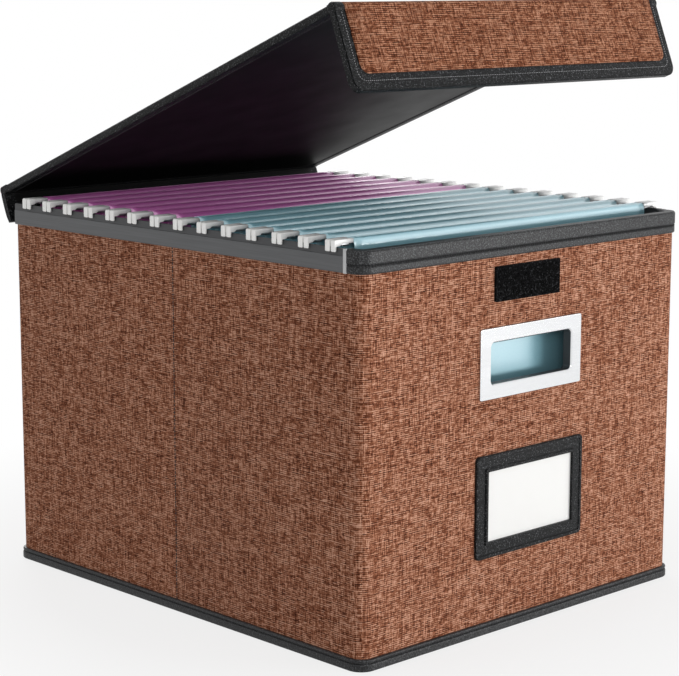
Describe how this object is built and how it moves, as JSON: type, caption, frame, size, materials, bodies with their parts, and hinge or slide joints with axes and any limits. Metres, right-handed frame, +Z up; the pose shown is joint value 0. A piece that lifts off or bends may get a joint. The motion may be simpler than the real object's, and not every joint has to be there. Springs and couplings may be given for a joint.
{
  "type": "file box",
  "caption": "Portable file box covered in woven linen, with a hinged lid and closing flap, side rails, hooked hanging folders, grip openings and a label frame.",
  "frame": {"origin": "middle of the bottom, on the surface that the box stands on", "axes": "+X to the right along the front, +Y from the front to the back, +Z up"},
  "size_m": [0.319, 0.381, 0.4127],
  "materials": {
    "linen": "woven linen, reddish brown with lighter and darker threads",
    "binding": "charcoal leatherette, fine pebble grain, stitched",
    "board": "grey board",
    "lining": "black satin lining",
    "black_fabric": "black nonwoven and hook and loop tape",
    "rail": "dark grey extruded plastic, satin",
    "bezel": "satin silver metal",
    "backing": "dark grey plastic",
    "card": "plain white card",
    "purple_sheet": "purple card, satin",
    "blue_sheet": "grey-blue card, satin",
    "rod": "white coated steel"
  },
  "bodies": {
    "root": {"base_cover": "black_fabric", "base_board": "board", "base_binding": "binding", "base_pad": "lining", "linen_cover": "linen", "inner_lining": "lining", "front_board": "board", "back_board": "board", "left_side_boards": "board", "right_side_boards": "board", "rim_binding_front": "binding", "rim_binding_back": "binding", "left_rail": "rail", "right_rail": "rail", "front_handle_bezel": "bezel", "front_handle_backing": "backing", "back_handle_bezel": "bezel", "back_handle_backing": "backing", "closure_loop_patch": "black_fabric", "label_frame": "binding", "label_card": "card"},
    "spine": {"lid_spine": "linen", "spine_binding": "binding"},
    "lid": {"lid_board": "board", "lid_cover": "linen", "lid_lining": "lining", "lid_binding": "binding"},
    "flap": {"flap_board": "board", "flap_cover": "linen", "flap_lining": "lining", "flap_binding": "binding", "closure_hook_patch": "black_fabric"},
    "file_01": {"folder_01": "purple_sheet", "rods_01": "rod"},
    "file_02": {"folder_02": "purple_sheet", "rods_02": "rod"},
    "file_03": {"folder_03": "purple_sheet", "rods_03": "rod"},
    "file_04": {"folder_04": "purple_sheet", "rods_04": "rod"},
    "file_05": {"folder_05": "purple_sheet", "rods_05": "rod"},
    "file_06": {"folder_06": "purple_sheet", "rods_06": "rod"},
    "file_07": {"folder_07": "purple_sheet", "rods_07": "rod"},
    "file_08": {"folder_08": "blue_sheet", "rods_08": "rod"},
    "file_09": {"folder_09": "blue_sheet", "rods_09": "rod"},
    "file_10": {"folder_10": "blue_sheet", "rods_10": "rod"},
    "file_11": {"folder_11": "blue_sheet", "rods_11": "rod"},
    "file_12": {"folder_12": "blue_sheet", "rods_12": "rod"},
    "file_13": {"folder_13": "blue_sheet", "rods_13": "rod"},
    "file_14": {"folder_14": "blue_sheet", "rods_14": "rod"}
  },
  "joints": [
    {"name": "spine_hinge", "type": "hinge", "parent": "root", "child": "spine", "pos_m": [0, 0.185, 0.2516], "axis": [-1, 0, 0], "range_deg": [-21.3, 158.7]},
    {"name": "lid_hinge", "type": "hinge", "parent": "spine", "child": "lid", "pos_m": [0, 0.19377, 0.2741], "axis": [-1, 0, 0], "range_deg": [0, 30]},
    {"name": "flap_hinge", "type": "hinge", "parent": "lid", "child": "flap", "pos_m": [0, -0.15473, 0.40997], "axis": [-1, 0, 0], "range_deg": [0, 90]},
    {"name": "file_slide_01", "type": "slide", "parent": "root", "child": "file_01", "axis": [0, 1, 0], "range_m": [-0.007, 0.007]},
    {"name": "file_slide_02", "type": "slide", "parent": "root", "child": "file_02", "axis": [0, 1, 0], "range_m": [-0.007, 0.007]},
    {"name": "file_slide_03", "type": "slide", "parent": "root", "child": "file_03", "axis": [0, 1, 0], "range_m": [-0.007, 0.007]},
    {"name": "file_slide_04", "type": "slide", "parent": "root", "child": "file_04", "axis": [0, 1, 0], "range_m": [-0.007, 0.007]},
    {"name": "file_slide_05", "type": "slide", "parent": "root", "child": "file_05", "axis": [0, 1, 0], "range_m": [-0.007, 0.007]},
    {"name": "file_slide_06", "type": "slide", "parent": "root", "child": "file_06", "axis": [0, 1, 0], "range_m": [-0.007, 0.007]},
    {"name": "file_slide_07", "type": "slide", "parent": "root", "child": "file_07", "axis": [0, 1, 0], "range_m": [-0.007, 0.007]},
    {"name": "file_slide_08", "type": "slide", "parent": "root", "child": "file_08", "axis": [0, 1, 0], "range_m": [-0.007, 0.007]},
    {"name": "file_slide_09", "type": "slide", "parent": "root", "child": "file_09", "axis": [0, 1, 0], "range_m": [-0.007, 0.007]},
    {"name": "file_slide_10", "type": "slide", "parent": "root", "child": "file_10", "axis": [0, 1, 0], "range_m": [-0.007, 0.007]},
    {"name": "file_slide_11", "type": "slide", "parent": "root", "child": "file_11", "axis": [0, 1, 0], "range_m": [-0.007, 0.007]},
    {"name": "file_slide_12", "type": "slide", "parent": "root", "child": "file_12", "axis": [0, 1, 0], "range_m": [-0.007, 0.007]},
    {"name": "file_slide_13", "type": "slide", "parent": "root", "child": "file_13", "axis": [0, 1, 0], "range_m": [-0.007, 0.007]},
    {"name": "file_slide_14", "type": "slide", "parent": "root", "child": "file_14", "axis": [0, 1, 0], "range_m": [-0.0055, 0.007]}
  ]
}
